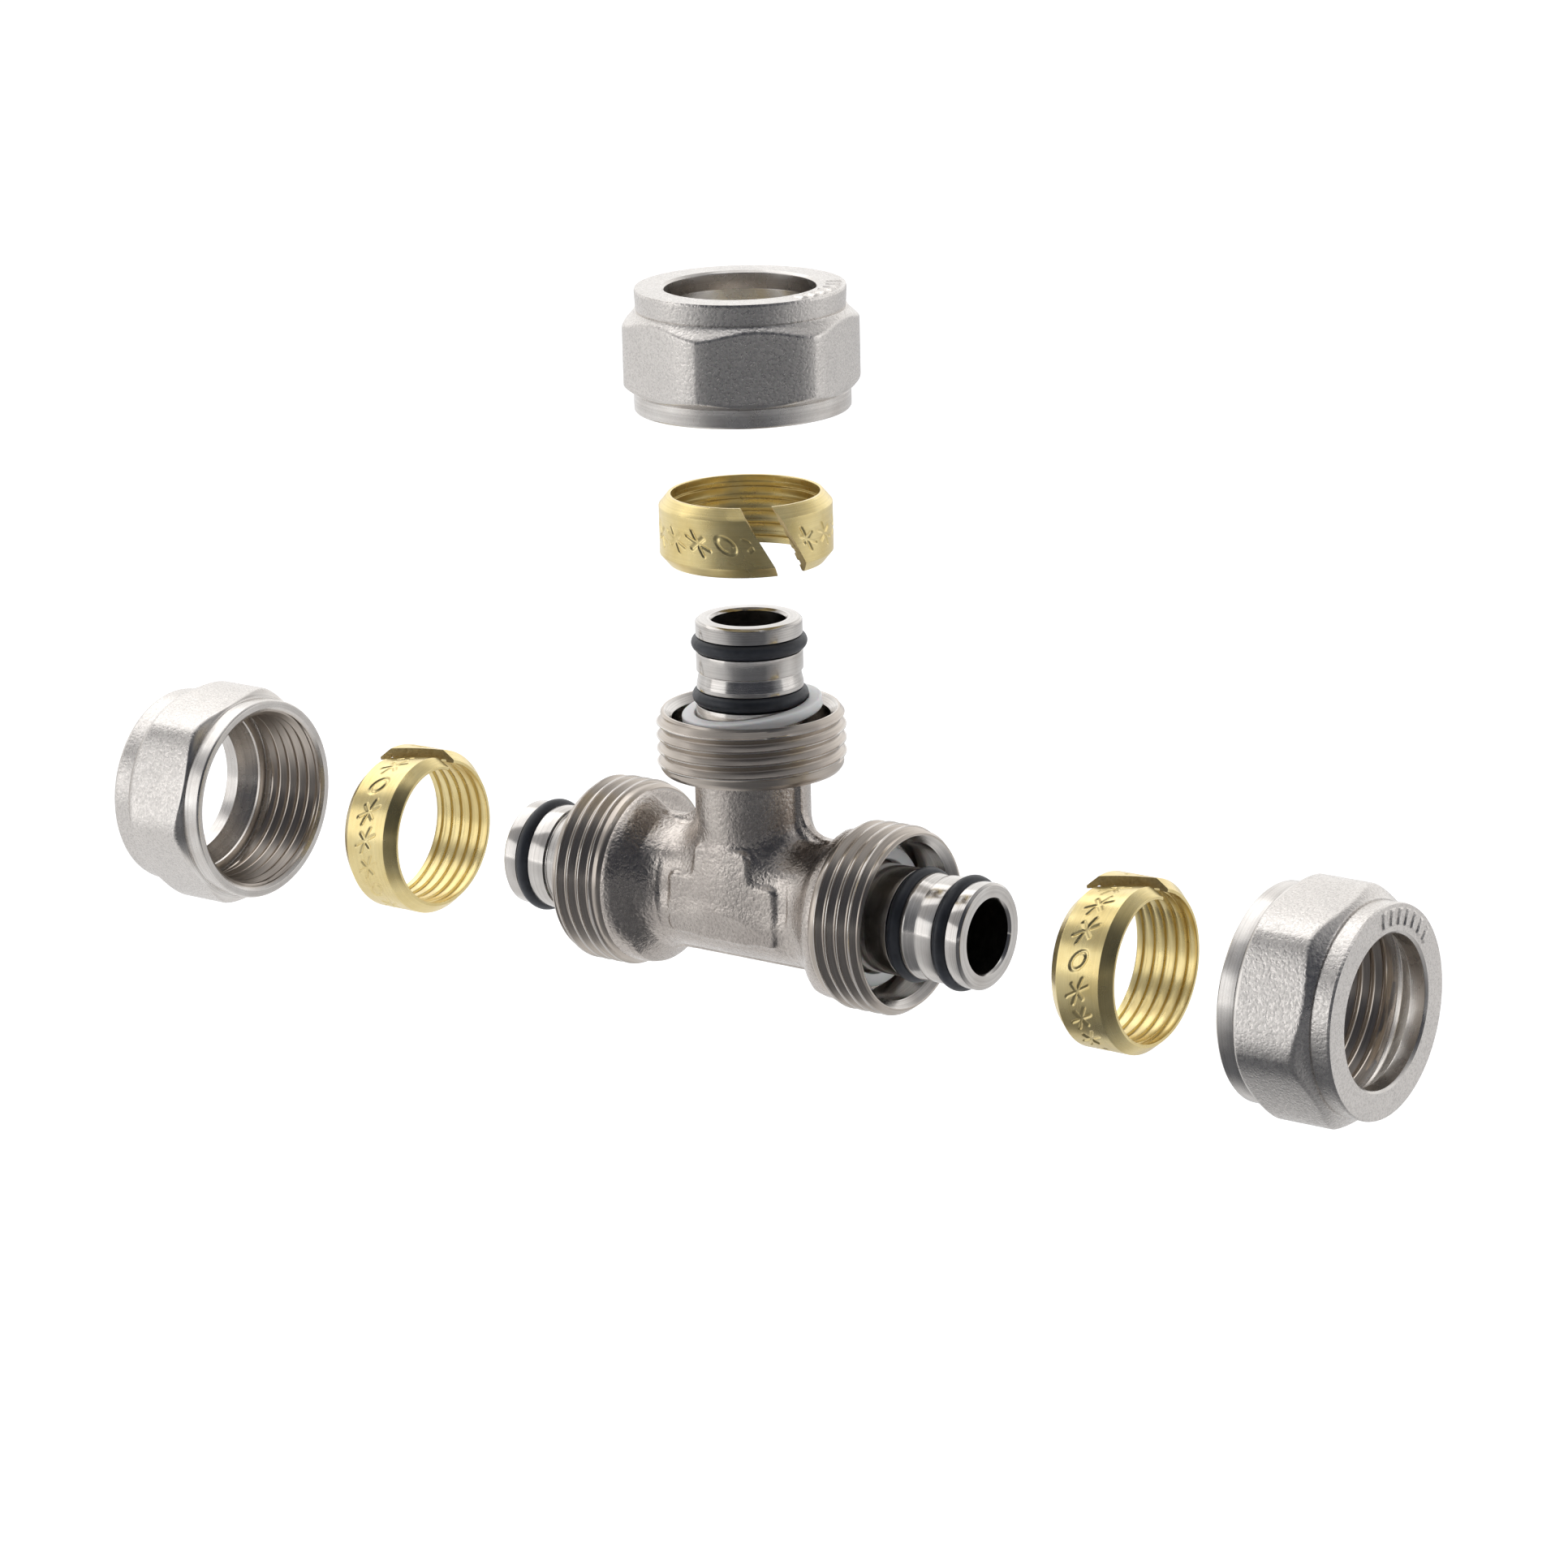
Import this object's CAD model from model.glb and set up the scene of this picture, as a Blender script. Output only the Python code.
import math

import bpy
import numpy as np
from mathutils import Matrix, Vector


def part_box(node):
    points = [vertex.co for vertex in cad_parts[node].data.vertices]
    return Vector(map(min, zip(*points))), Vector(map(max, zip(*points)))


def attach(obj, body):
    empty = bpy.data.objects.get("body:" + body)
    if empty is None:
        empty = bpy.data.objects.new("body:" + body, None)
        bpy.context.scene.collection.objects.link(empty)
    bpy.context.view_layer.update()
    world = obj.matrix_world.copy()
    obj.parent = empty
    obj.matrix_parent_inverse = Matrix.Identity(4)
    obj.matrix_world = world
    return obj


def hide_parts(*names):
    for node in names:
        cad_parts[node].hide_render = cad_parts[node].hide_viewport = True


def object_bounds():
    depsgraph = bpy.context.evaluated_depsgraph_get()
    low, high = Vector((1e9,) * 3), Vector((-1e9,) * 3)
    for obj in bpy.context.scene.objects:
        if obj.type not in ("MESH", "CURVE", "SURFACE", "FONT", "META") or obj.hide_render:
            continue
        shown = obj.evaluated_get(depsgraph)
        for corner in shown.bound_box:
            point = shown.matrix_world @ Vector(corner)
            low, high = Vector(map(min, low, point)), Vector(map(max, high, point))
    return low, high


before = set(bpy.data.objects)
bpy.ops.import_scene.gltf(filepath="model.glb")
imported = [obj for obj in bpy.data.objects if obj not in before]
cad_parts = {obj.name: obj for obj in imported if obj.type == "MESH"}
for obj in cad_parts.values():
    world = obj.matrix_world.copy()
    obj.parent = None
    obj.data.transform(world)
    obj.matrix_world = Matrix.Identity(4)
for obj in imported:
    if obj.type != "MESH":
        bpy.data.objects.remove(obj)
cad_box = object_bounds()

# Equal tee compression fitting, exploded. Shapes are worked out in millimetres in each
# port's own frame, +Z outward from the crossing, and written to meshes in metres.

import openvdb
from mathutils import Matrix, Vector

MM = 0.001
SIDES = ("left", "right", "branch")
AXIS = {"left": "x", "right": "x", "branch": "z"}

# ---------------------------------------------------------------- sizes, millimetres
# Ports: spigot and waterway, cavity, threaded collar
BORE_R = 4.1
SPIGOT_R = 5.9
SPIGOT_OUT = 10.2          # from the collar's rim to the spigot's tip
ROOT_R = 6.0
CAVITY_R = 8.75
CAVITY_DEPTH = 5.5
MOUTH_R = 9.6
RIM_R = 9.8
COLLAR_LEN = 6.9
THREAD_R = 10.48
THREAD_DEPTH = 0.85
PITCH = 1.5

# Seals and the spigot's grooves and relief, placed back from its tip
SEAL_T = 1.7
SEAL_OD = 12.8
OUTER_GROOVE = 2.7
INNER_GROOVE = 8.65
GROOVE_W = 1.76
GROOVE_R = 4.7
RELIEF_AT = 5.75
RELIEF_DEPTH = 0.28
RELIEF_END = 7.3

# Washers; the branch one lies loose, tilted and a little off centre
WASHER_T = 1.3
WASHER_R = 7.8
WASHER_HOLE_R = 6.35
BRANCH_WASHER_TILT = math.radians(7.5)
BRANCH_WASHER_TURN = math.radians(45)
BRANCH_WASHER_SHIFT = 0.15

# Clamping rings
RING_R = 9.5
RING_BORE_R = 8.15
RING_LEN = 7.7
RING_BEVEL = 1.2
RING_BEVEL_IN = 1.0

# Nuts, from the threaded end: skirt, hexagon, lip; inside: thread, relief, seat, pipe entry
NUT_LEN = 13.6
NUT_FLATS_R = 12.0
NUT_CORNER_R = 13.0
NUT_TURN = {"left": math.radians(20), "right": math.radians(-18), "branch": math.radians(-16)}
SKIRT_R = 11.8
SKIRT_LEN = 2.2
LIP_R = 11.5
LIP_LEN = 2.6
ENTRY_R = 8.25
ENTRY_LEN = 2.2
NUT_ROOT_R = 10.56
NUT_RELIEF_R = 10.9
NUT_RELIEF_START = 8.35
NUT_RELIEF_STOP = 9.15
SEAT_R = 9.8
CLOSED_NUT = 4.25          # how far a closed nut's threaded end lies behind the collar's rim


def near_end(node, side):
    """Distance from the crossing to the end of a node that faces the tee, in mm."""
    low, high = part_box(node)
    if side == "left":
        return -high[0] / MM
    return (low[0] if side == "right" else low[2]) / MM


def tip_of(side):
    """Distance from the crossing to a spigot's tip, in mm."""
    low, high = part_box("tee_body")
    return {"left": -low[0], "right": high[0], "branch": high[2]}[side] / MM


TIP = {side: tip_of(side) for side in SIDES}
RIM = {side: TIP[side] - SPIGOT_OUT for side in SIDES}


# ---------------------------------------------------------------- camera
VIEW_AZIMUTH = math.radians(36.5)
VIEW_ELEVATION = math.radians(15.8)
VIEW_ROLL = math.radians(-1.4)
VIEW_DISTANCE = 640
VIEW_RIGHT = 3.14
VIEW_UP = 12.06
LENS = 132.3


def add_camera():
    """Looks along the view direction, shifted to its right and up, and rolled."""
    back = Vector((math.sin(VIEW_AZIMUTH) * math.cos(VIEW_ELEVATION),
                   -math.cos(VIEW_AZIMUTH) * math.cos(VIEW_ELEVATION),
                   math.sin(VIEW_ELEVATION)))
    right = Vector((math.cos(VIEW_AZIMUTH), math.sin(VIEW_AZIMUTH), 0))
    up = back.cross(right)
    c, s = math.cos(VIEW_ROLL), math.sin(VIEW_ROLL)
    right, up = c * right + s * up, c * up - s * right
    data = bpy.data.cameras.new("camera")
    data.lens = LENS
    data.sensor_width = 36
    data.clip_end = 50
    camera = bpy.data.objects.new("camera", data)
    bpy.context.collection.objects.link(camera)
    place = (back * VIEW_DISTANCE + right * VIEW_RIGHT + up * VIEW_UP) * MM
    camera.matrix_world = Matrix.Translation(place) @ Matrix((right, up, back)).transposed().to_4x4()
    bpy.context.scene.camera = camera


# ---------------------------------------------------------------- node helpers
def fill_ramp(node, stops):
    """Colours or grey levels at places from 0 to 1 along the ramp."""
    elements = node.color_ramp.elements
    while len(elements) < len(stops):
        elements.new(0.5)
    for element, (place, colour) in zip(elements, stops):
        element.position = place
        element.color = (*colour, 1) if isinstance(colour, tuple) else (colour,) * 3 + (1,)


class Nodes:
    """A material's node tree with short calls for the few nodes used here."""

    def __init__(self, name):
        self.material = bpy.data.materials.new(name)
        self.material.use_nodes = True
        self.tree = self.material.node_tree
        self.shader = self.tree.nodes["Principled BSDF"]

    def new(self, kind, **values):
        node = self.tree.nodes.new(kind)
        for key, value in values.items():
            if hasattr(node, key):
                setattr(node, key, value)
            else:
                node.inputs[key.replace("_", " ")].default_value = value
        return node

    def link(self, source, target):
        self.tree.links.new(source, target)

    def math(self, operation, first, second=None):
        node = self.new("ShaderNodeMath", operation=operation)
        for socket, value in zip(node.inputs, (first, second)):
            if value is None:
                continue
            if isinstance(value, (int, float)):
                socket.default_value = value
            else:
                self.link(value, socket)
        return node.outputs[0]

    def coordinates(self):
        return self.new("ShaderNodeTexCoord").outputs["Object"]

    def turned_coordinates(self, axis):
        """Axial and radial distance from a port's centreline, as two sockets."""
        parts = self.new("ShaderNodeSeparateXYZ")
        self.link(self.coordinates(), parts.inputs[0])
        along = parts.outputs["X" if axis == "x" else "Z"]
        across = parts.outputs["Z" if axis == "x" else "X"]
        side = parts.outputs["Y"]
        squares = self.math("ADD", self.math("MULTIPLY", across, across),
                            self.math("MULTIPLY", side, side))
        return along, self.math("SQRT", squares)

    def vector(self, *sockets):
        """A vector of one, two or three sockets; the rest stay 0."""
        node = self.new("ShaderNodeCombineXYZ")
        for value, target in zip(sockets, node.inputs):
            self.link(value, target)
        return node.outputs[0]

    def noise(self, vector, scale, detail=2.0, roughness=0.5):
        node = self.new("ShaderNodeTexNoise", Scale=scale, Detail=detail, Roughness=roughness)
        self.link(vector, node.inputs["Vector"])
        return node.outputs["Fac"]

    def ramp(self, value, stops):
        node = self.new("ShaderNodeValToRGB")
        fill_ramp(node, stops)
        self.link(value, node.inputs["Fac"])
        return node.outputs["Color"]

    def mix(self, factor, first, second, blend="MIX"):
        """Mixes two colours; each input is a number, a colour or a socket."""
        node = self.new("ShaderNodeMix", data_type="RGBA", blend_type=blend)
        for value, target in ((factor, 0), (first, 6), (second, 7)):
            socket = node.inputs[target]
            if isinstance(value, (int, float)):
                socket.default_value = value
            elif isinstance(value, tuple):
                socket.default_value = (*value, 1)
            else:
                self.link(value, socket)
        return node.outputs[2]

    def bump(self, height, distance, strength=1.0, normal=None):
        node = self.new("ShaderNodeBump", Distance=distance, Strength=strength)
        self.link(height, node.inputs["Height"])
        if normal is not None:
            self.link(normal, node.inputs["Normal"])
        return node.outputs["Normal"]

    def finish(self, colour, roughness=None, normal=None):
        self.link(colour, self.shader.inputs["Base Color"])
        if roughness is not None:
            self.link(roughness, self.shader.inputs["Roughness"])
        if normal is not None:
            self.link(normal, self.shader.inputs["Normal"])
        return self.material


# ---------------------------------------------------------------- materials
RAMP_REACH = 0.02          # radius in metres that stands at the far end of a ramp
NICKEL_DARK = (0.585, 0.55, 0.515)
NICKEL_LIGHT = (0.71, 0.685, 0.655)
THREAD_TINT = (0.57, 0.51, 0.45)
THREAD_ROUGHNESS = 0.28


def turned_rings(m, axis, fineness, roughness):
    """Fine tool rings round a port's axis, and the radius, as two sockets."""
    along, radius = m.turned_coordinates(axis)
    return m.noise(m.vector(along, radius), fineness, 3, roughness), radius


def turned_nickel(name, axis, bright, dull, gloss):
    """Machined and nickel plated: fine rings round the port's axis, duller between two radii."""
    m = Nodes(name)
    m.shader.inputs["Metallic"].default_value = 1
    rings, radius = turned_rings(m, axis, 5200, 0.6)
    broad = m.noise(m.coordinates(), 260, 4, 0.6)
    base = m.ramp(broad, [(0.3, tuple(c * bright for c in NICKEL_DARK)),
                          (0.7, tuple(c * bright for c in NICKEL_LIGHT))])
    low, high = (r * MM / RAMP_REACH for r in dull)
    thread = m.ramp(m.math("DIVIDE", radius, RAMP_REACH),
                    [(low - 0.004, 0.0), (low, 1.0), (high, 1.0), (high + 0.006, 0.0)])
    base = m.mix(thread, base, THREAD_TINT)
    lines = m.ramp(rings, [(0.35, 0.80), (0.65, 1.0)])
    colour = m.mix(1.0, base, lines, "MULTIPLY")
    polish = m.ramp(m.noise(m.coordinates(), 700, 2, 0.5), [(0.3, gloss), (0.75, gloss + 0.09)])
    roughness = m.mix(thread, polish, (THREAD_ROUGHNESS,) * 3)
    return m.finish(colour, roughness, m.bump(rings, 0.000006, 0.6))


def blasted_nickel(name, tint, dark, rough, grain, depth):
    """Sand-textured plated forging: fine hard grain, softly mottled."""
    m = Nodes(name)
    m.shader.inputs["Metallic"].default_value = 1
    place = m.coordinates()
    fine = m.noise(place, grain, 2.5, 0.55)
    coarse = m.noise(place, grain * 0.6, 1, 0.4)
    mottle = m.noise(place, 180, 3, 0.5)
    base = m.ramp(mottle, [(0.3, dark), (0.7, tint)])
    pits = m.ramp(fine, [(0.34, 0.80), (0.54, 1.0)])
    colour = m.mix(1.0, base, pits, "MULTIPLY")
    roughness = m.ramp(coarse, [(0.3, rough - 0.08), (0.7, rough + 0.08)])
    normal = m.bump(fine, depth, 0.9, m.bump(coarse, depth * 0.8, 0.9))
    return m.finish(colour, roughness, normal)


def satin_brass(name, axis):
    """Bare turned brass, drawn satin, a little tarnished."""
    m = Nodes(name)
    m.shader.inputs["Metallic"].default_value = 1
    rings, _ = turned_rings(m, axis, 4200, 0.65)
    tarnish = m.noise(m.coordinates(), 240, 5, 0.6)
    base = m.ramp(tarnish, [(0.3, (0.78, 0.615, 0.265)), (0.72, (0.93, 0.785, 0.41))])
    colour = m.mix(1.0, base, m.ramp(rings, [(0.3, 0.86), (0.65, 1.0)]), "MULTIPLY")
    roughness = m.ramp(m.noise(m.coordinates(), 450, 2, 0.5), [(0.3, 0.25), (0.7, 0.32)])
    return m.finish(colour, roughness, m.bump(rings, 0.000008, 0.45))


def sawn_brass(name):
    """The rough face left where a ring was split."""
    m = Nodes(name)
    m.shader.inputs["Metallic"].default_value = 1
    grain = m.noise(m.coordinates(), 2600, 4, 0.7)
    colour = m.ramp(grain, [(0.3, (0.56, 0.43, 0.20)), (0.7, (0.74, 0.60, 0.31))])
    roughness = m.ramp(grain, [(0.3, 0.38), (0.7, 0.55)])
    return m.finish(colour, roughness, m.bump(grain, 0.00012, 0.8))


def nitrile_rubber(name):
    """Moulded black rubber with a faint bluish bloom."""
    m = Nodes(name)
    m.shader.inputs["Specular IOR Level"].default_value = 0.45
    skin = m.noise(m.coordinates(), 2400, 3, 0.55)
    bloom = m.noise(m.coordinates(), 420, 3, 0.6)
    colour = m.ramp(bloom, [(0.3, (0.011, 0.013, 0.018)), (0.75, (0.030, 0.034, 0.044))])
    roughness = m.ramp(skin, [(0.3, 0.36), (0.7, 0.50)])
    return m.finish(colour, roughness, m.bump(skin, 0.00002, 0.5))


def white_plastic(name):
    """Slightly translucent white plastic."""
    m = Nodes(name)
    m.shader.inputs["Subsurface Weight"].default_value = 0.15
    m.shader.inputs["Subsurface Scale"].default_value = 0.0006
    cloud = m.noise(m.coordinates(), 300, 3, 0.6)
    colour = m.ramp(cloud, [(0.3, (0.90, 0.905, 0.90)), (0.7, (0.95, 0.95, 0.945))])
    skin = m.noise(m.coordinates(), 2000, 3, 0.5)
    return m.finish(colour, m.ramp(skin, [(0.3, 0.38), (0.7, 0.50)]), m.bump(skin, 0.00002, 0.4))


# ---------------------------------------------------------------- mesh helpers
def rounded(corners, steps=3):
    """A closed outline from (r, z, radius) corners, each rounded by an arc of that radius."""
    outline = []
    count = len(corners)
    for i, (r, z, size) in enumerate(corners):
        here = np.array((r, z))
        before = np.array(corners[i - 1][:2]) - here
        after = np.array(corners[(i + 1) % count][:2]) - here
        lengths = np.linalg.norm(before), np.linalg.norm(after)
        if size <= 0 or min(lengths) < 1e-6:
            outline.append(here)
            continue
        before, after = before / lengths[0], after / lengths[1]
        half = math.acos(max(-1, min(1, float(before @ after)))) / 2
        if half > math.radians(88):
            outline.append(here)
            continue
        cut = min(size / math.tan(half), 0.45 * min(lengths))
        radius = cut * math.tan(half)
        centre = here + (before + after) / np.linalg.norm(before + after) * radius / math.sin(half)
        start, end = here + before * cut - centre, here + after * cut - centre
        turn = math.atan2(start[0] * end[1] - start[1] * end[0], float(start @ end))
        for k in range(steps + 1):
            angle = turn * k / steps
            c, s = math.cos(angle), math.sin(angle)
            outline.append(centre + np.array((c * start[0] - s * start[1],
                                              s * start[0] + c * start[1])))
    return np.array(outline)


def refined(outline, step_at):
    """The same closed outline with points added; step_at(a, b) is the most between two of them."""
    points = []
    for a, b in zip(outline, np.roll(outline, -1, 0)):
        pieces = max(1, math.ceil(float(np.linalg.norm(b - a)) / step_at(a, b) - 1e-6))
        points += [a + (b - a) * k / pieces for k in range(pieces)]
    return np.array(points)


def to_world(points, side, distance=0.0):
    """From a port's own frame, in mm, to the object's frame, in metres."""
    x, y, z = points[..., 0], points[..., 1], points[..., 2] + distance
    if side == "left":
        turned = np.stack((-z, y, x), -1)
    elif side == "right":
        turned = np.stack((z, y, -x), -1)
    else:
        turned = np.stack((x, y, z), -1)
    return turned * MM


def mesh_object(name, points, faces, materials, face_slots=None, crease=35):
    """An object from points in metres; edges sharper than crease, in degrees, stay sharp."""
    mesh = bpy.data.meshes.new(name)
    mesh.from_pydata(points.reshape(-1, 3).tolist(), [], faces)
    for material in materials:
        mesh.materials.append(material)
    if face_slots is not None:
        mesh.polygons.foreach_set("material_index", face_slots)
    finish_shading(mesh, crease)
    piece = bpy.data.objects.new(name, mesh)
    bpy.context.collection.objects.link(piece)
    return piece


def finish_shading(mesh, crease):
    mesh.polygons.foreach_set("use_smooth", [True] * len(mesh.polygons))
    mesh.set_sharp_from_angle(angle=math.radians(crease))
    mesh.update()


def revolved_faces(rows, columns, flip, after_seam):
    """Quads of a ring-shaped skin, closed both ways; after_seam is each row's row past the seam."""
    row = np.arange(rows)
    index = row[:, None] * columns + np.arange(columns)[None, :]
    ahead = np.concatenate((index[:, 1:], (after_seam * columns)[:, None]), 1)
    quads = np.stack((index, ahead, np.roll(ahead, -1, 0), np.roll(index, -1, 0)), -1)
    quads = quads.reshape(-1, 4)
    return quads[:, ::-1] if flip else quads


def welded(points, quads, slots):
    """Joins vertices that share a place and drops the faces that this leaves without area."""
    keys = np.round(points.reshape(-1, 3) * 1e4).astype(np.int64)
    _, first, same = np.unique(keys, axis=0, return_index=True, return_inverse=True)
    quads = same.reshape(-1)[quads]
    faces, kept = [], []
    for quad, slot in zip(quads.tolist(), slots):
        corners = [c for i, c in enumerate(quad) if c != quad[i - 1]]
        if len(corners) > 2 and len(set(corners)) == len(corners):
            faces.append(corners)
            kept.append(slot)
    return points.reshape(-1, 3)[first], faces, kept


def revolve(name, outline, shape, columns, side, distance, materials, slot_of=None, crease=35,
            helix=None):
    """A closed ring. shape(r, z, angle) gives the radius and height at every point.

    helix is (first row, row after the last, low z, high z) of rows that climb one pitch a turn.
    """
    angle = np.arange(columns) * (2 * math.pi / columns)
    r, z = np.repeat(outline[:, :1], columns, 1), np.repeat(outline[:, 1:], columns, 1)
    a = np.repeat(angle[None, :], len(outline), 0)
    after_seam = np.arange(len(outline))
    if helix is not None:
        first, stop, low, high = helix
        step = len(THREAD_PHASES) if outline[stop - 1, 1] > outline[first, 1] else -len(THREAD_PHASES)
        z[first:stop] = np.clip(z[first:stop] + PITCH * a[first:stop] / (2 * math.pi), low, high)
        after_seam[first:stop] = np.clip(after_seam[first:stop] + step, first, stop - 1)
    if shape is not None:
        r, z = shape(r, z, a)
    points = np.stack((r * np.cos(a), r * np.sin(a), z), -1)
    area = 0.5 * float(np.sum(outline[:, 0] * np.roll(outline[:, 1], -1)
                              - np.roll(outline[:, 0], -1) * outline[:, 1]))
    quads = revolved_faces(len(outline), columns, area < 0, after_seam)
    slots = np.zeros(len(quads), int)
    if slot_of is not None:
        middle = (outline + np.roll(outline, -1, 0)) / 2
        slots = np.repeat([slot_of(*point) for point in middle], columns)
    points, faces, slots = welded(points, quads, slots)
    return mesh_object(name, to_world(points, side, distance), faces, materials, slots, crease)


# One pitch of thread: where the mesh has rows, and the depth from crest (0) to root (1)
THREAD_PHASES = (0.05, 0.17, 0.30, 0.43, 0.47, 0.53, 0.57, 0.70, 0.83, 0.95)
THREAD_PLACES = (0.0, 0.05, 0.43, 0.47, 0.53, 0.57, 0.95, 1.0)
THREAD_DEPTHS = (0.74, 0.72, 0.20, 0.0, 0.0, 0.20, 0.72, 0.74)


def thread_wave(z, angle):
    """Depth of a right-handed V thread at a height and an angle."""
    turn = (z / PITCH - angle / (2 * math.pi)) % 1.0
    return np.interp(turn, THREAD_PLACES, THREAD_DEPTHS)


def thread_rows(radius, low, high, origin):
    """Rows for a helical band from low to high, starting one pitch early for the climb."""
    start = math.floor((low - origin) / PITCH) - 2
    stop = math.ceil((high - origin) / PITCH) + 1
    heights = [origin + (turn + phase) * PITCH for turn in range(start, stop) for phase in THREAD_PHASES]
    return [np.array((radius, z)) for z in heights if low - PITCH - 1e-6 <= z <= high + 1e-6]


def combine(target, tool, operation):
    """Boolean of two closed meshes, applied; the tool is removed."""
    step = target.modifiers.new("cut", "BOOLEAN")
    step.operation = operation
    step.solver = "MANIFOLD"
    step.material_mode = "TRANSFER"
    step.object = tool
    graph = bpy.context.evaluated_depsgraph_get()
    result = bpy.data.meshes.new_from_object(target.evaluated_get(graph), depsgraph=graph)
    target.modifiers.clear()
    target.data = result
    bpy.data.objects.remove(tool)


# ---------------------------------------------------------------- the tee
THREAD_END = 0.25          # from the collar's back and from its rim to the band of helical rows
PLAIN_BAND = 1.2           # smooth turned length left at the back of the thread
PLAIN_BAND_R = 10.15
BACK_R = 9.8               # collar's radius where its thread starts
BORE_FLARE = 0.24          # how much wider the waterway is at a spigot's tip
TOOL_R = 2.0               # inner radius of the turned port, cleared later by the bore


def port_thread(side):
    """Cuts the thread into a collar, with a lead-in at the rim and a run-out at the back."""
    back, rim = RIM[side] - COLLAR_LEN, RIM[side]

    def shape(r, z, angle):
        on_thread = (r > THREAD_R - 1e-6) & (z > back) & (z < rim)
        cut = THREAD_R - THREAD_DEPTH * thread_wave(z - rim, angle)
        plain = PLAIN_BAND_R - np.clip(z - back - PLAIN_BAND, 0, None) * 3.0
        lead_in = RIM_R + (rim - z) * 0.75
        lead_out = BACK_R + 0.05 + (z - back) * 0.6
        new = np.minimum(np.maximum(cut, plain), np.minimum(lead_in, lead_out))
        return np.where(on_thread, np.minimum(new, THREAD_R), r), z
    return shape


def turned_port(side, material):
    """One port, turned: spigot with its two grooves, cavity, collar and thread."""
    rim, tip = RIM[side], TIP[side]
    back = rim - COLLAR_LEN
    outer, inner = tip - OUTER_GROOVE, tip - INNER_GROOVE
    half = GROOVE_W / 2
    corners = [
        (TOOL_R, back, 0), (BACK_R, back, 0.05), (THREAD_R, back + THREAD_END, 0),
        (THREAD_R, rim - THREAD_END, 0),
        (RIM_R, rim, 0.06), (MOUTH_R, rim, 0.08), (CAVITY_R, rim - 0.9, 0.1),
        (CAVITY_R, rim - CAVITY_DEPTH, 0.2), (ROOT_R, rim - CAVITY_DEPTH, 0.2),
        (ROOT_R, inner - half, 0.08), (GROOVE_R, inner - half, 0.1),
        (GROOVE_R, inner + half, 0.1), (SPIGOT_R, inner + half, 0.08),
        (SPIGOT_R, tip - RELIEF_END, 0.3), (SPIGOT_R - RELIEF_DEPTH, tip - RELIEF_AT - 0.25, 0.1),
        (SPIGOT_R - RELIEF_DEPTH, tip - RELIEF_AT - 0.12, 0.05),
        (SPIGOT_R, tip - RELIEF_AT, 0.05),
        (SPIGOT_R, outer - half, 0.08), (GROOVE_R, outer - half, 0.1),
        (GROOVE_R, outer + half, 0.1), (SPIGOT_R, outer + half, 0.08),
        (SPIGOT_R, tip - 0.3, 0.1), (SPIGOT_R - 0.3, tip, 0.1), (TOOL_R, tip, 0)]
    outline = list(rounded(corners))
    low, high = back + THREAD_END, rim - THREAD_END
    first = next(i for i, point in enumerate(outline) if point[0] > THREAD_R - 1e-6) + 1
    rows = thread_rows(THREAD_R, low, high, rim)
    outline[first:first] = rows
    helix = (first, first + len(rows), low, high)
    return revolve("port_" + side, np.array(outline), port_thread(side), 180, side, 0, [material],
                   helix=helix)


def add_bore(side, material):
    """The waterway from inside the crossing out past the tip, flared at the mouth."""
    tip = TIP[side]
    start, stop = -0.02, tip + 1
    wide = BORE_R + BORE_FLARE
    rows = [(BORE_R, start), (BORE_R, tip - 0.32), (BORE_R + BORE_FLARE / 4, tip - 0.2),
            (wide, tip + 0.02), (wide, stop)]
    columns = 128
    angle = np.arange(columns) * (2 * math.pi / columns)
    ring = np.stack((np.cos(angle), np.sin(angle)), -1)
    points = [(0, 0, start)]
    for r, z in rows:
        points += [(r * c, r * s, z) for c, s in ring]
    points.append((0, 0, stop))
    last = len(points) - 1
    faces = []
    for k in range(columns):
        n = (k + 1) % columns
        faces.append((0, 1 + n, 1 + k))
        for i in range(len(rows) - 1):
            a, b = 1 + i * columns, 1 + (i + 1) * columns
            faces.append((a + k, a + n, b + n, b + k))
        top = 1 + (len(rows) - 1) * columns
        faces.append((top + k, top + n, last))
    return mesh_object("bore_" + side, to_world(np.array(points, float), side), faces, [material])


# Forged core: a distance field in mm, polygonised on a regular grid
CELL = 0.17
RUN_NECK_R = 7.1
RUN_NECK_HALF_DEPTH = 6.2
BRANCH_NECK_R = 6.4
# Radius of the shoulder at distances behind a run collar's back: at the sides and underneath
SHOULDER_PLACES = (0.0, 0.4, 1.0, 1.5, 2.1, 2.9, 4.0, 5.0)
SHOULDER_SIDE = (9.85, 9.8, 9.55, 9.15, 8.5, 7.7, 7.0, 6.4)
SHOULDER_UNDER = (9.85, 9.85, 9.8, 9.8, 9.65, 8.8, 7.5, 6.6)
RIB_HALF = 0.7
RIB_H = 0.6
PAD_Y = 6.5
PAD_FLUSH = 0.55           # how far the neck's front swells to meet the lower half of the pad
PAD_HALF_LEN = 7.2
PAD_LOW = -3.8
PAD_HIGH = 3.0
PAD_STEM_HALF = 3.7
PAD_STEM_TOP = 6.6
PAD_CORNER_R = 0.9
INTO_COLLAR = 0.25         # how far the forging reaches into a collar


def soft_min(a, b, k):
    """Union of two distance fields, blended over a width of about k."""
    h = np.clip(0.5 + 0.5 * (b - a) / k, 0, 1)
    return b + (a - b) * h - k * h * (1 - h)


def soft_max(a, b, k):
    """Intersection of two distance fields, blended in the same way."""
    return -soft_min(-a, -b, k)


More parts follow.
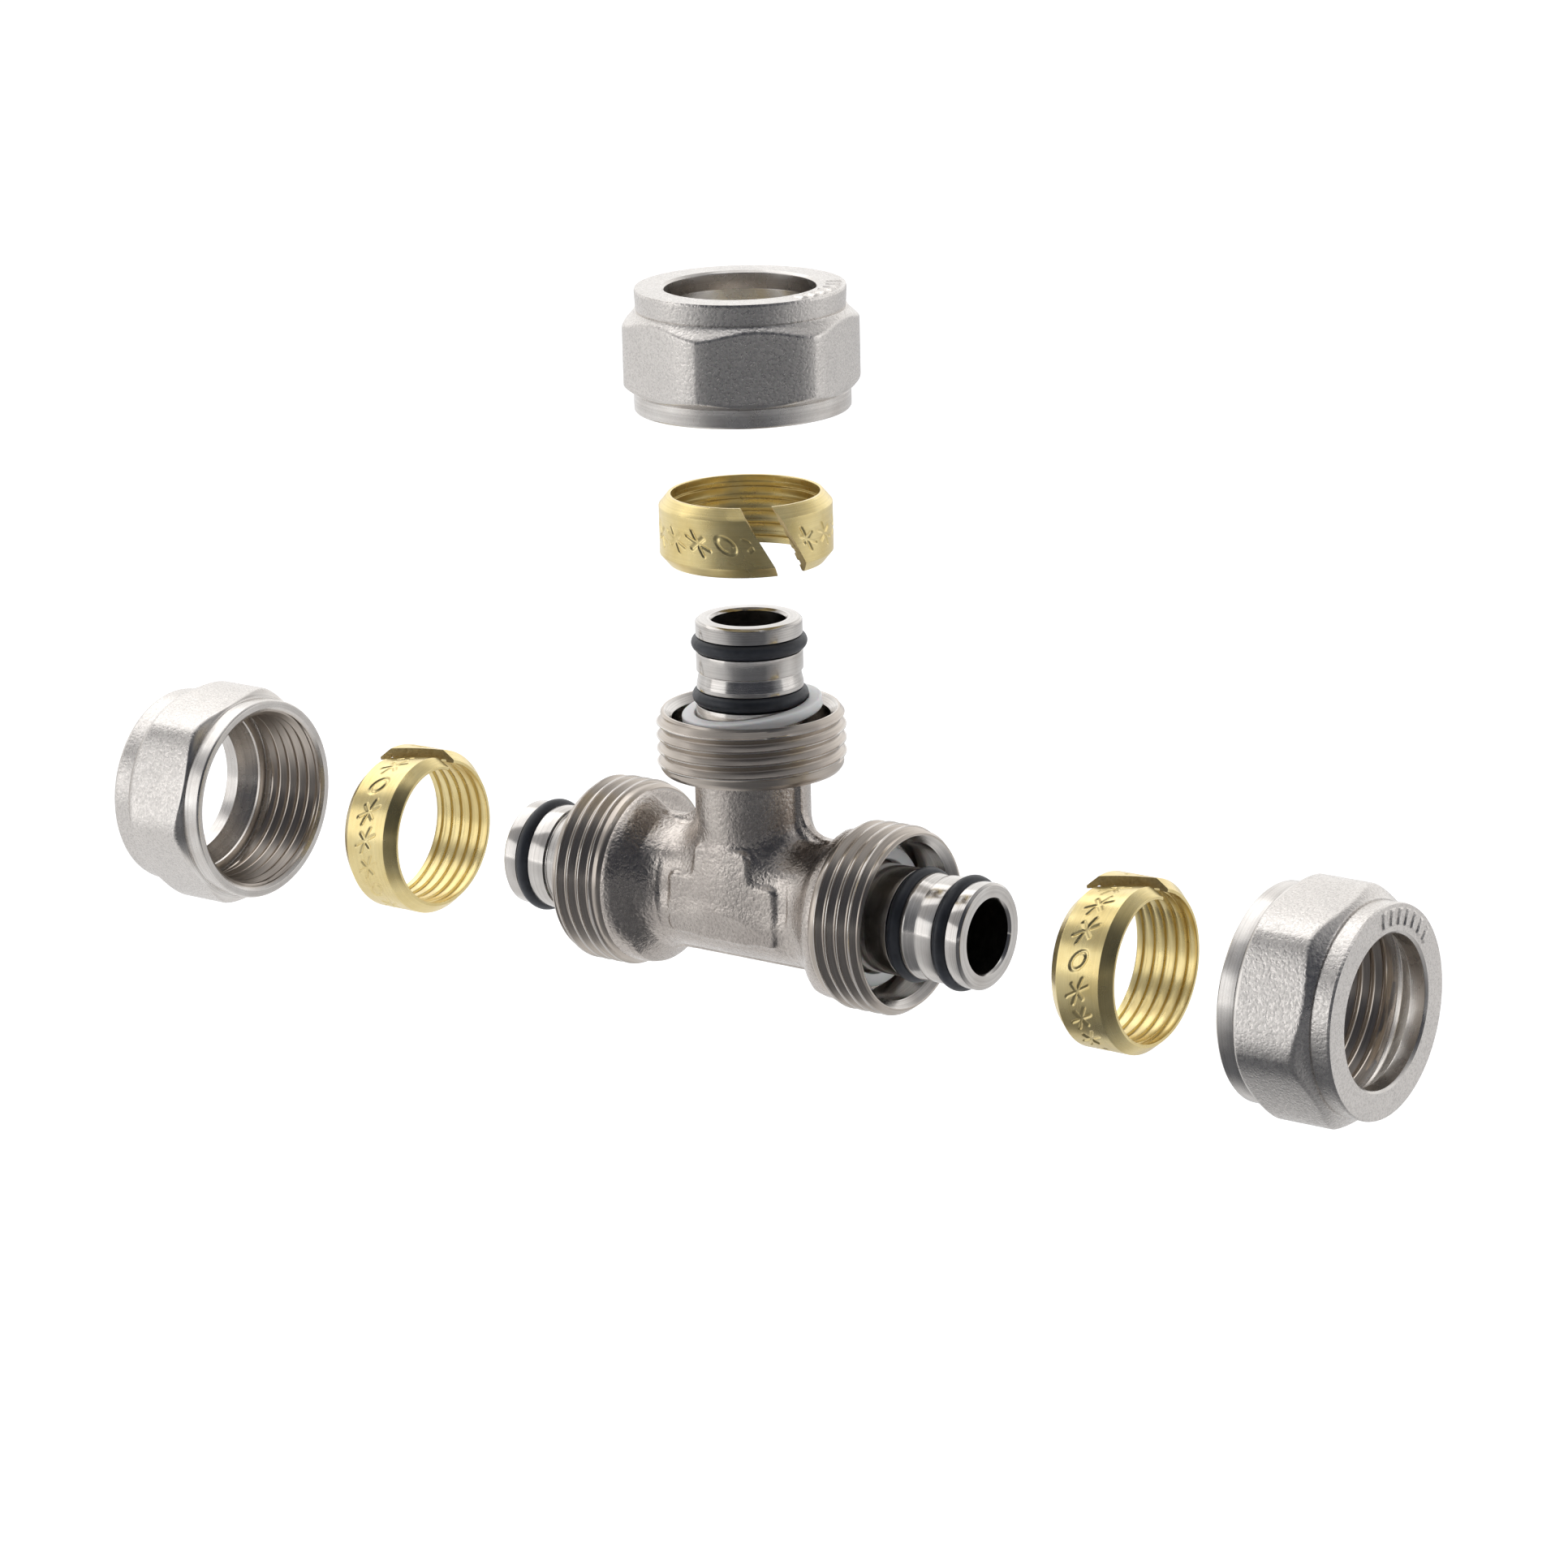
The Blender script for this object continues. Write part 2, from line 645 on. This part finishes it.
def box_2d(u, v, u0, u1, v0, v1, radius):
    """Signed distance to a rectangle with rounded corners."""
    du = np.abs(u - (u0 + u1) / 2) - (u1 - u0) / 2 + radius
    dv = np.abs(v - (v0 + v1) / 2) - (v1 - v0) / 2 + radius
    outside = np.hypot(np.maximum(du, 0), np.maximum(dv, 0))
    return outside + np.minimum(np.maximum(du, dv), 0) - radius


def neck_field(x, y, z):
    """The run, flattened front and back, and the branch, run together."""
    flush = PAD_FLUSH * np.clip((0.5 - z) / 2.0, 0, 1) * (y < 0)
    run = soft_max(np.hypot(y, z) - RUN_NECK_R, np.abs(y) - RUN_NECK_HALF_DEPTH - flush, 1.4)
    branch = np.maximum(np.hypot(x, y) - BRANCH_NECK_R, -z)
    return soft_min(run, branch, 3.0)


def shoulder_field(y, z, behind):
    """Flares toward the run's collars: fuller underneath, left out above the back."""
    radius = np.hypot(y, z)
    under = np.clip((-z / (radius + 1e-6) - 0.35) / 0.45, 0, 1)
    above_back = np.clip((y + 0.4 * z - 3.0) / 2.0, 0, 1) * np.clip(z / 3.0, 0, 1)
    flare = (np.interp(behind, SHOULDER_PLACES, SHOULDER_SIDE) * (1 - under)
             + np.interp(behind, SHOULDER_PLACES, SHOULDER_UNDER) * under)
    flare = flare - above_back * np.clip(behind * 8, 0, 3.2)
    return np.maximum((radius - flare) * 0.7, behind - SHOULDER_PLACES[-1])


def rib_field(x, y, z):
    """The parting rib, which follows the silhouette of the necks."""
    outline = soft_min(np.abs(z) - RUN_NECK_R, np.maximum(np.abs(x) - BRANCH_NECK_R, -z), 3.6)
    return soft_max(outline - RIB_H, np.abs(y) - RIB_HALF, 0.3)


def pad_field(x, y, z):
    """The raised T on the front."""
    bar = box_2d(x, z, -PAD_HALF_LEN, PAD_HALF_LEN, PAD_LOW, PAD_HIGH, PAD_CORNER_R)
    stem = box_2d(x, z, -PAD_STEM_HALF, PAD_STEM_HALF, PAD_LOW, PAD_STEM_TOP, PAD_CORNER_R)
    return soft_max(soft_min(bar, stem, 1.0), np.maximum(-PAD_Y - y, y), 0.5)


def core_field(x, y, z):
    """The whole forging, cut off just inside the three collars."""
    run_back = RIM["right"] - COLLAR_LEN
    branch_back = RIM["branch"] - COLLAR_LEN
    body = soft_min(neck_field(x, y, z), shoulder_field(y, z, run_back - np.abs(x)), 0.9)
    body = soft_min(body, rib_field(x, y, z), 0.7)
    body = soft_min(body, pad_field(x, y, z), 0.5)
    body = np.maximum(body, np.abs(x) - (run_back + INTO_COLLAR))
    return np.maximum(body, z - (branch_back + INTO_COLLAR))


def forged_core(material):
    """The forging as a mesh, from its distance field."""
    low = np.array((-15.5, -10.8, -10.8))
    high = np.array((15.5, 10.8, 14.6))
    counts = np.ceil((high - low) / CELL).astype(int)
    axes = [low[i] + CELL * np.arange(counts[i]) for i in range(3)]
    x, y, z = np.meshgrid(*axes, indexing="ij")
    field = np.clip(core_field(x, y, z), -3 * CELL, 3 * CELL).astype(np.float32)
    grid = openvdb.FloatGrid(3 * CELL)
    grid.copyFromArray(field)
    points, quads = grid.convertToQuads(isovalue=0.0)
    points = points * CELL + low
    faces = [tuple(int(i) for i in quad[::-1]) for quad in quads]
    return mesh_object("tee", points * MM, faces, [material], crease=60)


def add_tee(forged, turned):
    """One solid: the forging with its three turned ports, drilled through."""
    tee = forged_core(forged)
    for side in SIDES:
        combine(tee, turned_port(side, turned[AXIS[side]]), "UNION")
    for side in SIDES:
        combine(tee, add_bore(side, turned[AXIS[side]]), "DIFFERENCE")
    finish_shading(tee.data, 24)
    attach(tee, "tee")
    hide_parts("tee_body")


# ---------------------------------------------------------------- seals
def add_oring(side, which, material):
    """A moulded O-ring: round section with a faint flash line inside and outside."""
    back = OUTER_GROOVE if which == "outer" else INNER_GROOVE
    centre = SEAL_OD / 2 - SEAL_T / 2
    turn = np.arange(40) * (2 * math.pi / 40)
    radius = SEAL_T / 2 * (1 + 0.012 * np.exp(-(np.sin(turn) / 0.09) ** 2))
    outline = np.stack((centre + radius * np.cos(turn) - 0.01, radius * np.sin(turn)), -1)
    name = side + "_" + which + "_seal"
    piece = revolve(name, outline, None, 144, side, TIP[side] - back, [material], crease=80)
    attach(piece, "tee")
    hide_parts(side + "_" + which + "_oring")


def add_washer(side, material):
    """A flat plastic washer at its CAD place, tilted in the branch."""
    half = WASHER_T / 2
    outline = rounded([(WASHER_HOLE_R, -half, 0.15), (WASHER_R, -half, 0.25),
                       (WASHER_R, half, 0.25), (WASHER_HOLE_R, half, 0.15)], 4)
    low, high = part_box(side + "_washer")
    middle = [(a + b) / 2 / MM for a, b in zip(low, high)]
    distance = abs(middle[2] if side == "branch" else middle[0])
    piece = revolve(side + "_insulating_washer", outline, None, 144, "branch", 0, [material])
    mesh = piece.data
    points = np.empty(len(mesh.vertices) * 3)
    mesh.vertices.foreach_get("co", points)
    points = points.reshape(-1, 3) / MM
    if side == "branch":
        tilt = Matrix.Rotation(BRANCH_WASHER_TURN, 3, "Z") @ Matrix.Rotation(-BRANCH_WASHER_TILT, 3, "Y")
        points = points @ np.array(tilt).T
        points += BRANCH_WASHER_SHIFT * np.array((math.cos(BRANCH_WASHER_TURN),
                                                  math.sin(BRANCH_WASHER_TURN), 0))
    points = to_world(points, side, distance)
    mesh.vertices.foreach_set("co", points.ravel())
    mesh.update()
    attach(piece, side + "_washer")
    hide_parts(side + "_washer")


# ---------------------------------------------------------------- clamping rings
SLANT = math.radians(30)   # of the split against the axis
SPLIT_TURN = {"left": 0.0, "right": math.pi, "branch": math.radians(-32)}
SPLIT_GAP = {"left": 0.9, "right": 0.9, "branch": 3.93}     # along the circumference, mm
# How far the two cut ends stand out of the ring's circle, or in from it where negative
END_RISE = {"left": (-0.8, 0.05), "right": (-0.8, 0.05), "branch": (0.0, 0.0)}
RISE_REACH = math.radians(55)
GRIP_COUNT = 5
GRIP_START = 0.75
GRIP_STEP = 1.4
GRIP_DEPTH = 0.28
STAR_SPACING = 3.35
STAR_R = 1.3
STAMP_W = 0.19
STAMP_DEPTH = 0.14
STAMP_MARGIN = 0.9         # left plain beside the split


def star_mark(u, v):
    """Depth of a six-armed stamped star about its own centre, 0 to 1."""
    depth = np.zeros_like(u)
    for k in range(3):
        angle = math.pi / 3 * k + math.pi / 2
        along = u * math.cos(angle) + v * math.sin(angle)
        across = -u * math.sin(angle) + v * math.cos(angle)
        over = np.maximum(np.abs(along) - STAR_R, 0)
        depth = np.maximum(depth, np.clip(1.4 - np.hypot(across, over) / STAMP_W, 0, 1))
    return depth


def circle_mark(u, v):
    """A plain stamped circle, where the real ring carries its size."""
    return np.clip(1.4 - np.abs(np.hypot(u, v) - 0.9) / STAMP_W, 0, 1)


def ring_stamp(arc, height):
    """Stamped pattern along the outside: stars, with a circle after every third one."""
    index = np.floor(arc / STAR_SPACING)
    u = arc - (index + 0.5) * STAR_SPACING
    v = height - RING_LEN / 2
    return np.where(index % 4 == 3, circle_mark(u, v), star_mark(u, v))


def ring_outline():
    """Section of a clamping ring: bevelled outside, with gripping grooves in the bore."""
    grips = []
    for i in reversed(range(GRIP_COUNT)):
        z = GRIP_START + i * GRIP_STEP
        grips += [(RING_BORE_R, z + 0.62, 0.05), (RING_BORE_R + GRIP_DEPTH, z + 0.55, 0.06),
                  (RING_BORE_R + GRIP_DEPTH, z + 0.06, 0.06), (RING_BORE_R, z, 0.05)]
    edge = RING_R - RING_BEVEL_IN
    corners = [(RING_BORE_R, 0, 0.06), (edge, 0, 0.06), (RING_R, RING_BEVEL, 0.08),
               (RING_R, RING_LEN - RING_BEVEL, 0.08), (edge, RING_LEN, 0.06),
               (RING_BORE_R, RING_LEN, 0.06)] + grips
    return refined(rounded(corners),
                   lambda a, b: 0.08 if min(a[0], b[0]) > RING_R - 1e-3 else 0.4)


def end_rise(side, t, span):
    """Change of radius toward the two cut ends; t runs from one end to the other."""
    before, after = END_RISE[side]
    first, last = (after, before) if side == "left" else (before, after)
    fade_first = np.clip(1 - t * span / RISE_REACH, 0, 1) ** 2
    fade_last = np.clip(1 - (1 - t) * span / RISE_REACH, 0, 1) ** 2
    return first * fade_first + last * fade_last


def ring_points(side, outline, columns):
    """A split ring's skin in its port's frame, one row for each point of the section."""
    r, z = outline[:, :1], outline[:, 1:]
    half_gap = SPLIT_GAP[side] / 2 / RING_R
    lean = -math.tan(SLANT) * (z - RING_LEN / 2) / RING_R
    start = SPLIT_TURN[side] + lean + half_gap
    span = 2 * math.pi - 2 * half_gap
    t = np.linspace(0, 1, columns)[None, :]
    angle = start + span * t
    outside = np.clip((r - (RING_R - 0.05)) / 0.04, 0, 1)
    arc = t * span * RING_R
    stamp = ring_stamp(arc, z + 0 * t) * outside * np.clip((arc - STAMP_MARGIN) / 0.2, 0, 1)
    stamp = stamp * np.clip((span * RING_R - STAMP_MARGIN - arc) / 0.2, 0, 1)
    radius = r + end_rise(side, t, span) - STAMP_DEPTH * stamp
    return np.stack((radius * np.cos(angle), radius * np.sin(angle), z + 0 * angle), -1)


def add_clamp_ring(side, material, sawn):
    """A split brass ring, closed by a sawn face at each end."""
    outline = ring_outline()
    columns = 760
    points = ring_points(side, outline, columns)
    rows = len(outline)
    faces = []
    for i in range(rows):
        n = (i + 1) % rows
        for k in range(columns - 1):
            faces.append((i * columns + k, i * columns + k + 1, n * columns + k + 1, n * columns + k))
    slots = [0] * len(faces)
    faces.append([i * columns for i in range(rows)])
    faces.append([i * columns + columns - 1 for i in range(rows)][::-1])
    slots += [1, 1]
    distance = near_end(side + "_clamp_ring", side)
    piece = mesh_object(side + "_split_ring", to_world(points, side, distance), faces,
                        [material, sawn], slots, 32)
    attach(piece, side + "_ring")
    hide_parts(side + "_clamp_ring")


# ---------------------------------------------------------------- nuts
# Raised bars on the lip
MARK_H = 0.2
MARK_COUNT = 7
MARK_STEP = math.radians(9)
MARKS_AT = {"left": math.radians(160), "right": math.radians(156), "branch": math.radians(13)}
MARK_MIDDLE_R = 10.05
MARK_HALF_LEN = 0.88
MARK_HALF_W = 0.38

# Where a nut's thread starts and stops
NUT_THREAD_LOW = 0.35
NUT_THREAD_HIGH = 8.0


def hexagon_radius(angle):
    """Radius of the hexagon with softened corners at an angle from a corner."""
    sector = (angle + math.pi / 6) % (math.pi / 3) - math.pi / 6
    flat = NUT_FLATS_R / np.cos(math.pi / 6 - np.abs(sector))
    k = 0.45
    return -k * np.log(np.exp(-flat / k) + np.exp(-NUT_CORNER_R / k)) + 0.02


def envelope_radius(z):
    """Turned limit of the hexagon's corners: cone at the skirt, dished cone at the lip."""
    lower = SKIRT_R + 0.1 + (z - SKIRT_LEN) * 1.6
    lip_start = NUT_LEN - LIP_LEN
    over = np.clip(lip_start - z, 0, None)
    upper = LIP_R - 0.15 + 1.15 * over
    return np.minimum(lower, upper)


def lip_mark(r, angle, middle):
    """Raised generic bars along an arc of the lip, centred on an angle."""
    height = np.zeros_like(r)
    for i in range(MARK_COUNT):
        centre = middle + (i - (MARK_COUNT - 1) / 2) * MARK_STEP
        away = (angle - centre + math.pi) % (2 * math.pi) - math.pi
        across = np.abs(away) * r - MARK_HALF_W
        along = np.abs(r - MARK_MIDDLE_R) - MARK_HALF_LEN
        edge = np.maximum(across, along)
        height = np.maximum(height, np.clip(0.5 - edge / 0.12, 0, 1))
    return height


def soft_step(a, b, k):
    """The smaller of two radii near the hexagon's, joined by a small round."""
    return NUT_FLATS_R - k * np.log(np.exp((NUT_FLATS_R - a) / k) + np.exp((NUT_FLATS_R - b) / k))


def nut_shape(side):
    """Shapes a turned blank into a nut: hexagon, thread and raised bars."""
    def shape(r, z, angle):
        outside = (z > SKIRT_LEN - 0.01) & (z < NUT_LEN - LIP_LEN + 0.6) & (r > LIP_R + 0.3)
        trimmed = soft_step(hexagon_radius(angle - NUT_TURN[side]), envelope_radius(z), 0.12)
        filleted = 2 * NUT_FLATS_R - soft_step(2 * NUT_FLATS_R - trimmed,
                                               2 * NUT_FLATS_R - (LIP_R - 0.12) + 0 * trimmed, 0.3)
        new_r = np.where(outside, filleted, r)
        threaded = np.abs(r - NUT_ROOT_R) < 1e-6
        cut = NUT_ROOT_R - THREAD_DEPTH * 0.97 * thread_wave(z - CLOSED_NUT, angle)
        lead_in = NUT_ROOT_R + 0.15 - (z - NUT_THREAD_LOW)
        lead_out = NUT_ROOT_R + 0.15 - (NUT_THREAD_HIGH - z) * 1.5
        thread_r = np.maximum(cut, np.maximum(lead_in, lead_out))
        new_r = np.where(threaded, np.minimum(thread_r, NUT_ROOT_R), new_r)
        raised = (z > NUT_LEN - MARK_H - 1e-6) & (r > ENTRY_R + 0.4) & (r < LIP_R - 0.3)
        new_z = np.where(raised, z + MARK_H * lip_mark(r, angle, MARKS_AT[side]), z)
        return new_r, new_z
    return shape


def nut_slot(r, z):
    """0 turned, 1 blasted: the hexagon, the lip and its face are blasted."""
    if z > NUT_LEN - MARK_H - 0.05 and r > ENTRY_R + 0.35:
        return 1
    return 1 if r > LIP_R - 0.4 and z > SKIRT_LEN + 0.45 else 0


def add_nut(side, turned, blasted):
    """A nut as one closed ring: hexagon, skirt and lip outside, thread and seat inside."""
    face = NUT_LEN - MARK_H
    lip_start = NUT_LEN - LIP_LEN
    cone_end = NUT_LEN - ENTRY_LEN
    cone_start = cone_end - (SEAT_R - ENTRY_R) * 1.2
    outer = [(NUT_ROOT_R + 0.4, 0, 0.1), (SKIRT_R - 0.15, 0, 0.1), (SKIRT_R, 0.2, 0.05),
             (SKIRT_R, SKIRT_LEN - 0.15, 0.02), (SKIRT_R - 0.08, SKIRT_LEN - 0.05, 0.02),
             (SKIRT_R + 0.1, SKIRT_LEN, 0), (NUT_CORNER_R, SKIRT_LEN + 0.02, 0),
             (NUT_CORNER_R, lip_start + 0.02, 0), (LIP_R - 0.12, lip_start + 0.05, 0),
             (LIP_R - 0.1, lip_start + 0.2, 0.1), (LIP_R, face - 0.3, 0.1),
             (LIP_R - 0.08, face, 0.05)]
    inner = [(ENTRY_R + 0.3, face, 0.05), (ENTRY_R, face - 0.25, 0.08), (ENTRY_R, cone_end, 0.15),
             (SEAT_R, cone_start, 0.15), (SEAT_R, NUT_RELIEF_STOP + 0.05, 0.08),
             (NUT_RELIEF_R, NUT_RELIEF_STOP, 0.15), (NUT_RELIEF_R, NUT_RELIEF_START, 0.15),
             (NUT_ROOT_R, NUT_THREAD_HIGH, 0), (NUT_ROOT_R, NUT_THREAD_LOW, 0)]

    def step_at(a, b):
        if min(a[0], b[0]) > NUT_CORNER_R - 1e-6 or min(a[1], b[1]) > face - 1e-6:
            return 0.12
        return NUT_LEN

    outline = list(refined(rounded(outer + inner), step_at))
    first = next(i for i, point in enumerate(outline) if abs(point[0] - NUT_ROOT_R) < 1e-6) + 1
    rows = thread_rows(NUT_ROOT_R, NUT_THREAD_LOW, NUT_THREAD_HIGH, CLOSED_NUT)[::-1]
    outline[first:first] = rows
    helix = (first, first + len(rows), NUT_THREAD_LOW, NUT_THREAD_HIGH)
    distance = near_end(side + "_nut", side)
    piece = revolve(side + "_hex_nut", np.array(outline), nut_shape(side), 360, side, distance,
                    [turned, blasted], nut_slot, 24, helix)
    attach(piece, side + "_nut")
    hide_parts(side + "_nut")


# ---------------------------------------------------------------- stage and light
# In metres
FLOOR_DROP = 0.055         # from the object's lowest point to the floor
FLOOR_SIZE = 40.0
FLAG_SIZE = 3.2
FLAG_LIFT = 0.002
LIGHT_DISTANCE = 1.2
FRONT = (0.62, -0.764, 0.174)      # from the object toward the dark end of the studio


def plate(name, size, level, material):
    """A flat square centred under the object, for the floor and for the flag on it."""
    mesh = bpy.data.meshes.new(name)
    half = size / 2
    mesh.from_pydata([(-half, -half, level), (half, -half, level), (half, half, level),
                      (-half, half, level)], [], [(0, 1, 2, 3)])
    mesh.materials.append(material)
    piece = bpy.data.objects.new(name, mesh)
    bpy.context.collection.objects.link(piece)
    return piece


def light_table(name):
    """Pale and faintly glowing, like a photographer's light table."""
    m = Nodes(name)
    m.shader.inputs["Emission Color"].default_value = (1, 1, 1, 1)
    m.shader.inputs["Emission Strength"].default_value = 0.52
    tone = m.noise(m.coordinates(), 3, 2, 0.5)
    return m.finish(m.ramp(tone, [(0.3, (0.86, 0.86, 0.86)), (0.7, (0.88, 0.88, 0.88))]),
                    m.ramp(tone, [(0.3, 0.8), (0.7, 0.9)]))


# How much of the pale floor the flag hides from reflections, by direction round the object.
# 0 is toward -X, a quarter is toward -Y, and so on round.
FLAG_DENSITY = [(0.0, 0.30), (0.10, 0.28), (0.20, 0.55), (0.25, 0.85), (0.32, 0.94),
                (0.44, 0.94), (0.50, 0.70), (0.56, 0.45), (0.61, 0.30), (0.68, 0.42),
                (0.80, 0.40), (0.90, 0.22), (1.0, 0.30)]


def flag_cloth(name):
    """Dark toward the photographer, thin elsewhere; seen only in reflections."""
    m = Nodes(name)
    turn = m.new("ShaderNodeTexGradient", gradient_type="RADIAL")
    m.link(m.coordinates(), turn.inputs["Vector"])
    density = m.ramp(turn.outputs["Fac"], FLAG_DENSITY)
    dark = m.new("ShaderNodeEmission", Color=(0.062, 0.066, 0.078, 1))
    clear = m.new("ShaderNodeBsdfTransparent")
    blend = m.new("ShaderNodeMixShader")
    m.link(density, blend.inputs[0])
    m.link(clear.outputs[0], blend.inputs[1])
    m.link(dark.outputs[0], blend.inputs[2])
    m.link(blend.outputs[0], m.tree.nodes["Material Output"].inputs["Surface"])
    return m.material


def add_floor():
    """The pale floor, and a dark cloth just over it that only reflections see."""
    level = cad_box[0][2] - FLOOR_DROP
    plate("floor", FLOOR_SIZE, level, light_table("light_table"))
    flag = plate("flag", FLAG_SIZE, level + FLAG_LIFT, flag_cloth("flag_cloth"))
    flag.visible_camera = False
    flag.visible_diffuse = False
    flag.visible_shadow = False


def add_area(name, azimuth, elevation, size, radiance):
    """A soft light that faces the object, placed by angles from the -Y direction."""
    data = bpy.data.lights.new(name, "AREA")
    data.shape = "RECTANGLE"
    data.size, data.size_y = size
    data.energy = radiance * math.pi * size[0] * size[1]
    light = bpy.data.objects.new(name, data)
    bpy.context.collection.objects.link(light)
    a, e = math.radians(azimuth), math.radians(elevation)
    back = Vector((math.sin(a) * math.cos(e), -math.cos(a) * math.cos(e), math.sin(e)))
    right = Vector((math.cos(a), math.sin(a), 0))
    light.matrix_world = (Matrix.Translation(back * LIGHT_DISTANCE)
                          @ Matrix((right, back.cross(right), back)).transposed().to_4x4())


# Studio brightness against how far a direction points toward FRONT, from behind to before
WORLD_STOPS = [(0.0, (1.30, 1.30, 1.30)), (0.22, (1.15, 1.15, 1.15)), (0.45, (0.52, 0.52, 0.53)),
               (0.62, (0.42, 0.42, 0.43)), (0.72, (0.36, 0.37, 0.39)), (0.86, (0.075, 0.08, 0.095)),
               (1.0, (0.06, 0.065, 0.08))]


def add_world():
    """A studio that is bright beyond the object and dark toward FRONT."""
    world = bpy.data.worlds.new("studio")
    bpy.context.scene.world = world
    world.use_nodes = True
    tree = world.node_tree
    place = tree.nodes.new("ShaderNodeTexCoord")
    toward = tree.nodes.new("ShaderNodeVectorMath")
    toward.operation = "DOT_PRODUCT"
    toward.inputs[1].default_value = FRONT
    scale = tree.nodes.new("ShaderNodeMath")
    scale.operation = "MULTIPLY_ADD"
    scale.inputs[1].default_value = 0.5
    scale.inputs[2].default_value = 0.5
    ramp = tree.nodes.new("ShaderNodeValToRGB")
    fill_ramp(ramp, WORLD_STOPS)
    tree.links.new(place.outputs["Generated"], toward.inputs[0])
    tree.links.new(toward.outputs["Value"], scale.inputs[0])
    tree.links.new(scale.outputs[0], ramp.inputs["Fac"])
    tree.links.new(ramp.outputs["Color"], tree.nodes["Background"].inputs["Color"])


def add_light():
    add_world()
    add_area("left_softbox", -38, 8, (0.85, 0.75), 1.0)
    add_area("overhead_softbox", -96, 54, (1.1, 0.8), 1.0)
    add_area("right_softbox", 128, 16, (0.8, 0.7), 0.7)
    add_area("top_softbox", 40, 84, (0.8, 0.8), 0.7)
    bpy.context.scene.view_settings.view_transform = "Standard"


add_camera()
forged = blasted_nickel("forged_nickel", (0.60, 0.55, 0.505), (0.48, 0.435, 0.40), 0.25, 3400, 0.00008)
nut_skin = blasted_nickel("blasted_nut_nickel", (0.72, 0.685, 0.65), (0.66, 0.63, 0.60), 0.30, 4200,
                          0.00005)
turned_tee = {axis: turned_nickel("turned_nickel_" + axis, axis, 1.0, (9.65, 10.3), 0.13)
              for axis in "xz"}
turned_nut = {axis: turned_nickel("turned_nut_nickel_" + axis, axis, 1.1, (9.88, 10.6), 0.23)
              for axis in "xz"}
brass = {axis: satin_brass("satin_brass_" + axis, axis) for axis in "xz"}
sawn = sawn_brass("sawn_brass")
rubber = nitrile_rubber("nitrile_rubber")
plastic = white_plastic("white_washer_plastic")

add_tee(forged, turned_tee)
for port in SIDES:
    add_oring(port, "outer", rubber)
    add_oring(port, "inner", rubber)
    add_washer(port, plastic)
    add_clamp_ring(port, brass[AXIS[port]], sawn)
    add_nut(port, turned_nut[AXIS[port]], nut_skin)
add_floor()
add_light()
